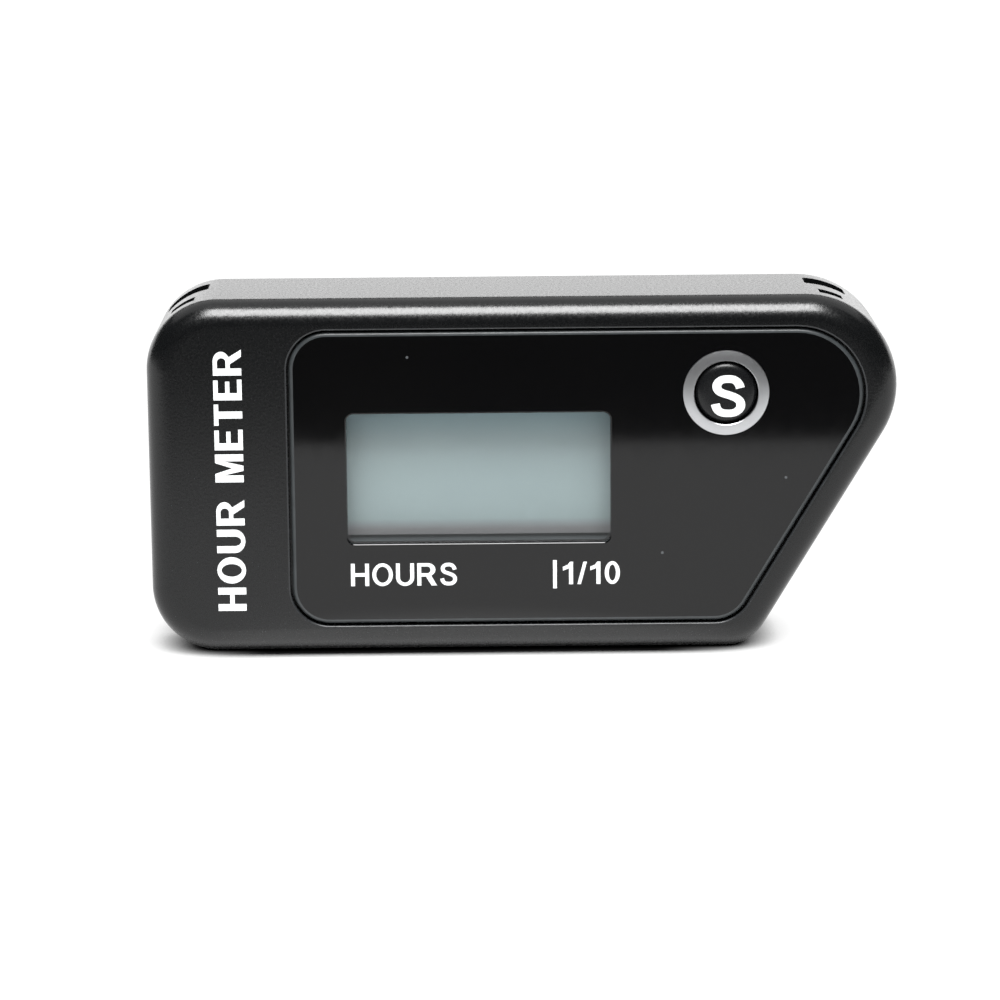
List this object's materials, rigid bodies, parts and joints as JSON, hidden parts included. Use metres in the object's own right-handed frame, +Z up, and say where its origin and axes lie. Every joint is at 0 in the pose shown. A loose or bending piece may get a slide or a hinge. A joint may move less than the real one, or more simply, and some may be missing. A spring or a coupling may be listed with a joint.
{
  "type": "hour meter",
  "caption": "Self-powered engine hour meter: moulded case with one leaning side, glossy front panel, display window, round push key and cable tie slots.",
  "frame": {"origin": "centre of the footprint on the surface that it stands on", "axes": "+X along the width to the viewer's right, +Y from the front panel to the back, +Z up"},
  "size_m": [0.056, 0.012, 0.0268],
  "materials": {
    "case_plastic": "fine moulded texture, charcoal",
    "gloss_panel": "high gloss black",
    "clear_lens": "polished clear acrylic",
    "bezel_metal": "satin silver",
    "key_plastic": "satin black",
    "cover_plastic": "fine moulded texture, charcoal",
    "seal_rubber": "soft matte",
    "screw_steel": "zinc plated",
    "frame_plastic": "moulded white",
    "polariser_film": "grey film, satin",
    "display_glass": "polished glass",
    "reflector_film": "satin silver film",
    "contact_rubber": "silicone",
    "board_laminate": "green solder mask",
    "epoxy": "cast epoxy",
    "crystal_can": "plated lid",
    "sensor_can": "drawn can",
    "chip_ceramic": "fired ceramic",
    "cell_steel": "nickel plated",
    "tab_nickel": "nickel strip",
    "pad_foam": "closed cell foam",
    "switch_plastic": "moulded black",
    "plunger_plastic": "moulded",
    "dome_steel": "spring steel"
  },
  "bodies": {
    "housing": {"front_case": "case_plastic", "fascia": "gloss_panel", "window_lens": "clear_lens", "button_bezel": "bezel_metal", "rear_cover": "cover_plastic", "cover_gasket": "seal_rubber", "cover_screws": "screw_steel", "lcd_frame": "frame_plastic", "front_polariser": "polariser_film", "lcd_front_glass": "display_glass", "lcd_rear_glass": "display_glass", "lcd_reflector": "reflector_film", "zebra_strip": "contact_rubber", "circuit_board": "board_laminate", "board_screws": "screw_steel", "controller_drop": "epoxy", "crystal": "crystal_can", "vibration_sensor": "sensor_can", "chip_parts": "chip_ceramic", "coin_cell": "cell_steel", "positive_tab": "tab_nickel", "negative_tab": "tab_nickel", "cell_pad": "pad_foam", "switch_body": "switch_plastic", "switch_frame": "tab_nickel", "snap_dome": "dome_steel"},
    "button": {"button_cap": "key_plastic", "switch_plunger": "plunger_plastic"}
  },
  "joints": [
    {"name": "button_press", "type": "slide", "parent": "housing", "child": "button", "axis": [0, 1, 0], "range_m": [0, 0.0003], "stiffness_N_per_m": 4000, "deforming": ["snap_dome"]}
  ]
}
